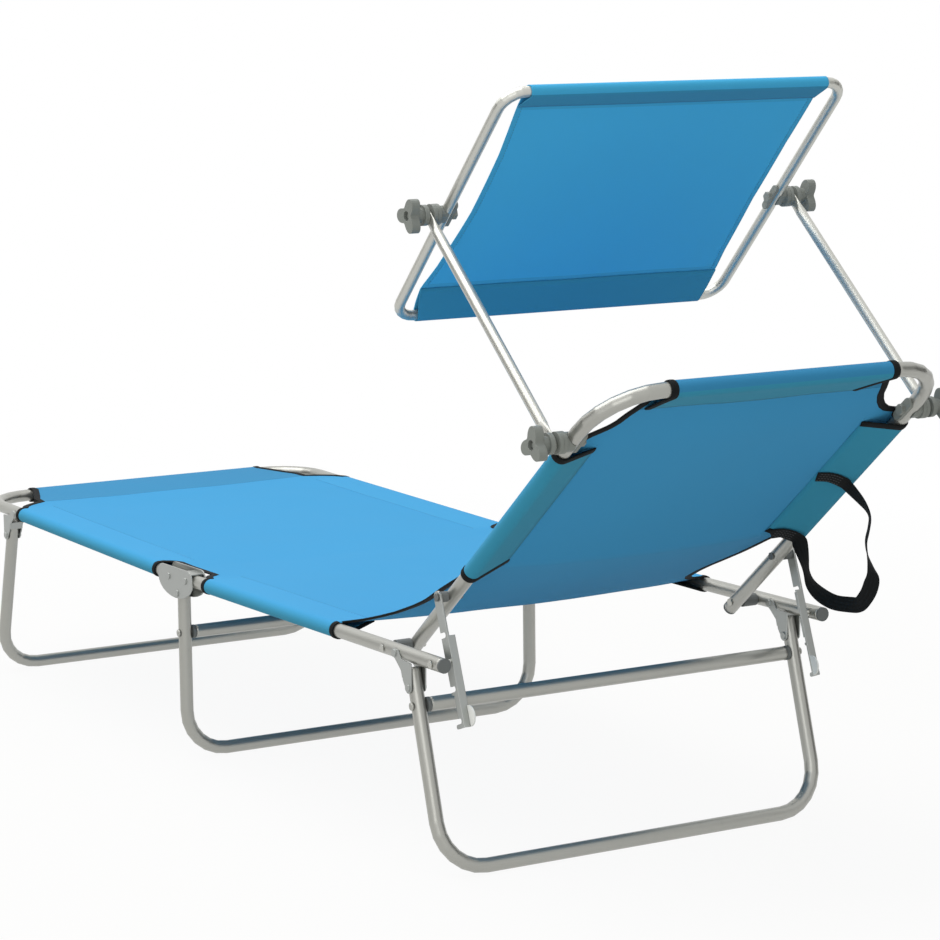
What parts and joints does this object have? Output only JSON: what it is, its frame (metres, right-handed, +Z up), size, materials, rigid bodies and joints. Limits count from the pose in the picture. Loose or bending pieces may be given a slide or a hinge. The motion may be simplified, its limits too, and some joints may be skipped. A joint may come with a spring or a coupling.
{
  "type": "sun lounger",
  "caption": "Folding sun lounger with tube frame, three U-shaped legs, reclining backrest on slotted racks and a tilting fabric canopy on clamped arms.",
  "frame": {"origin": "on the floor, below the middle of the bounding box in the pose of the picture", "axes": "+X runs from the foot end to the head end, +Y across the lounger, +Z up"},
  "size_m": [1.7734, 0.5876, 0.9539],
  "materials": {
    "frame_tube": "satin, silver powder-coated steel tube",
    "bright_steel": "zinc-plated, bright",
    "clamp_plastic": "moulded, grey, fine grain",
    "cap_plastic": "moulded, dark grey",
    "tab_plastic": "moulded, white",
    "seat_fabric": "woven mesh, light blue",
    "canopy_fabric": "woven, mid blue",
    "webbing": "woven webbing, black"
  },
  "bodies": {
    "seat": {"seat_tube_left": "frame_tube", "seat_tube_right": "frame_tube", "seat_tube_plug_left": "cap_plastic", "seat_tube_plug_right": "cap_plastic", "rack_pin_left": "bright_steel", "rack_pin_right": "bright_steel", "hinge_bracket_left": "frame_tube", "hinge_bracket_right": "frame_tube", "rear_leg_bracket_left": "frame_tube", "rear_leg_bracket_right": "frame_tube", "back_pivot_bolt_left": "bright_steel", "back_pivot_bolt_right": "bright_steel", "back_pivot_spacer_left": "cap_plastic", "back_pivot_spacer_right": "cap_plastic", "seat_cloth": "seat_fabric", "hinge_cloth": "seat_fabric", "lap_cloth": "seat_fabric"},
    "foot_section": {"foot_tube": "frame_tube", "foot_leg_bracket_left": "frame_tube", "foot_leg_bracket_right": "frame_tube", "foot_cloth": "seat_fabric"},
    "foot_leg": {"foot_leg": "frame_tube"},
    "mid_leg": {"mid_leg": "frame_tube", "mid_crossbar": "frame_tube", "mid_crossbar_cap_left": "cap_plastic", "mid_crossbar_cap_right": "cap_plastic"},
    "rear_leg": {"rear_leg": "frame_tube", "rear_crossbar": "frame_tube", "rear_crossbar_cap_left": "cap_plastic", "rear_crossbar_cap_right": "cap_plastic"},
    "backrest": {"back_tube": "frame_tube", "back_tube_cap_left": "cap_plastic", "back_tube_cap_right": "cap_plastic", "back_cloth": "seat_fabric", "strap": "webbing", "lower_clamp_jaw_left": "clamp_plastic", "lower_clamp_jaw_right": "clamp_plastic", "rack_pivot_left": "cap_plastic", "rack_pivot_right": "cap_plastic"},
    "rack_left": {"rack_left": "frame_tube", "rack_tab_left": "tab_plastic"},
    "rack_right": {"rack_right": "frame_tube", "rack_tab_right": "tab_plastic"},
    "canopy_arms": {"canopy_arm_left": "frame_tube", "canopy_arm_right": "frame_tube", "lower_clamp_disc_left": "clamp_plastic", "lower_clamp_disc_right": "clamp_plastic", "upper_clamp_disc_left": "clamp_plastic", "upper_clamp_disc_right": "clamp_plastic"},
    "canopy": {"canopy_tube": "frame_tube", "canopy_cloth": "canopy_fabric", "upper_clamp_jaw_left": "clamp_plastic", "upper_clamp_jaw_right": "clamp_plastic"},
    "lower_knob_left": {"lower_knob_left": "clamp_plastic"},
    "lower_knob_right": {"lower_knob_right": "clamp_plastic"},
    "upper_knob_left": {"upper_knob_left": "clamp_plastic"},
    "upper_knob_right": {"upper_knob_right": "clamp_plastic"}
  },
  "joints": [
    {"name": "foot_fold", "type": "hinge", "parent": "seat", "child": "foot_section", "pos_m": [-0.16994, 0, 0.257], "axis": [0, 1, 0], "range_deg": [0, 135], "deforming": ["hinge_cloth"]},
    {"name": "foot_leg_fold", "type": "hinge", "parent": "foot_section", "child": "foot_leg", "pos_m": [-0.76341, 0, 0.2274], "axis": [0, -1, 0], "range_deg": [0, 105]},
    {"name": "mid_leg_fold", "type": "hinge", "parent": "seat", "child": "mid_leg", "pos_m": [-0.14373, 0, 0.23626], "axis": [0, -1, 0], "range_deg": [0, 90]},
    {"name": "rear_leg_fold", "type": "hinge", "parent": "seat", "child": "rear_leg", "pos_m": [0.50841, 0, 0.22573], "axis": [0, 1, 0], "range_deg": [0, 104]},
    {"name": "recline", "type": "hinge", "parent": "seat", "child": "backrest", "pos_m": [0.44204, 0, 0.26307], "axis": [0, 1, 0], "range_deg": [-65.6, 34.4], "deforming": ["lap_cloth"]},
    {"name": "rack_left_swing", "type": "hinge", "parent": "backrest", "child": "rack_left", "pos_m": [0.53403, 0, 0.33855], "axis": [0, 1, 0], "range_deg": [-20, 35]},
    {"name": "rack_right_swing", "type": "hinge", "parent": "backrest", "child": "rack_right", "pos_m": [0.53403, 0, 0.33855], "axis": [0, 1, 0], "range_deg": [-20, 35]},
    {"name": "canopy_arms_swing", "type": "hinge", "parent": "backrest", "child": "canopy_arms", "pos_m": [0.80229, 0, 0.55866], "axis": [0, -1, 0], "range_deg": [-100, 45]},
    {"name": "canopy_tilt", "type": "hinge", "parent": "canopy_arms", "child": "canopy", "pos_m": [0.52536, 0, 0.79796], "axis": [0, 1, 0], "range_deg": [-80, 80]},
    {"name": "lower_knob_left_turn", "type": "hinge", "parent": "canopy_arms", "child": "lower_knob_left", "pos_m": [0.80229, -0.2808, 0.55866], "axis": [0, 1, 0], "continuous": true},
    {"name": "lower_knob_right_turn", "type": "hinge", "parent": "canopy_arms", "child": "lower_knob_right", "pos_m": [0.80229, 0.2808, 0.55866], "axis": [0, 1, 0], "continuous": true},
    {"name": "upper_knob_left_turn", "type": "hinge", "parent": "canopy_arms", "child": "upper_knob_left", "pos_m": [0.52536, -0.2808, 0.79796], "axis": [0, 1, 0], "continuous": true},
    {"name": "upper_knob_right_turn", "type": "hinge", "parent": "canopy_arms", "child": "upper_knob_right", "pos_m": [0.52536, 0.2808, 0.79796], "axis": [0, 1, 0], "continuous": true}
  ],
  "couplings": [
    {"joint": "rack_left_swing", "follows": "recline", "ratio": -0.5},
    {"joint": "rack_right_swing", "follows": "recline", "ratio": -0.5}
  ]
}
